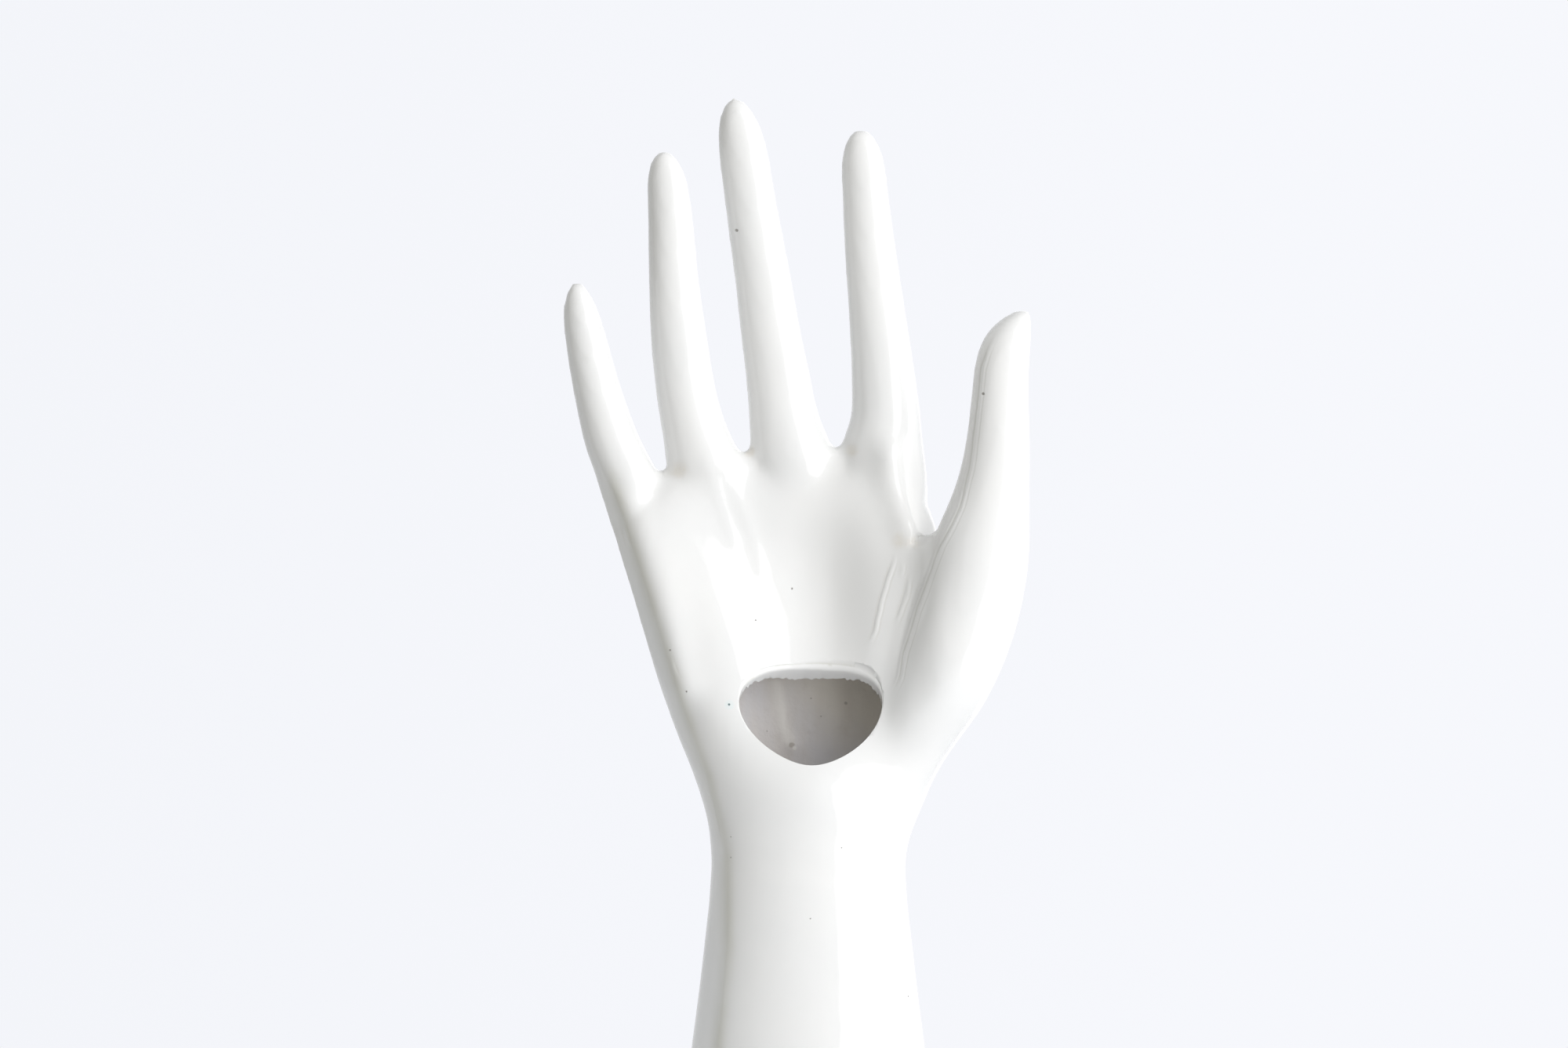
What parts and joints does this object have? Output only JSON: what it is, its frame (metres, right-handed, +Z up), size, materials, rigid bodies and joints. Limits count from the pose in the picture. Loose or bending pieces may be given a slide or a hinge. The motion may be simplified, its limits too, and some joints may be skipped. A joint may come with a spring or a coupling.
{
  "type": "hand sculpture vase",
  "caption": "Upright glazed ceramic right hand on a flared hollow forearm, palm open to the front, with an egg-shaped mouth cut in the heel of the palm.",
  "frame": {"origin": "centre of the foot's flat face, where the forearm stands on the table", "axes": "+Z up along the forearm and the fingers, -Y out of the palm, +X towards the thumb"},
  "size_m": [0.1177, 0.062, 0.3048],
  "materials": {
    "glaze": "gloss white glaze",
    "bisque": "unglazed matt clay"
  },
  "bodies": {
    "root": {"forearm": "glaze", "base_disc": "bisque", "palm": "glaze", "thumb": "glaze", "index_finger": "glaze", "middle_finger": "glaze", "ring_finger": "glaze", "little_finger": "glaze"}
  },
  "joints": []
}
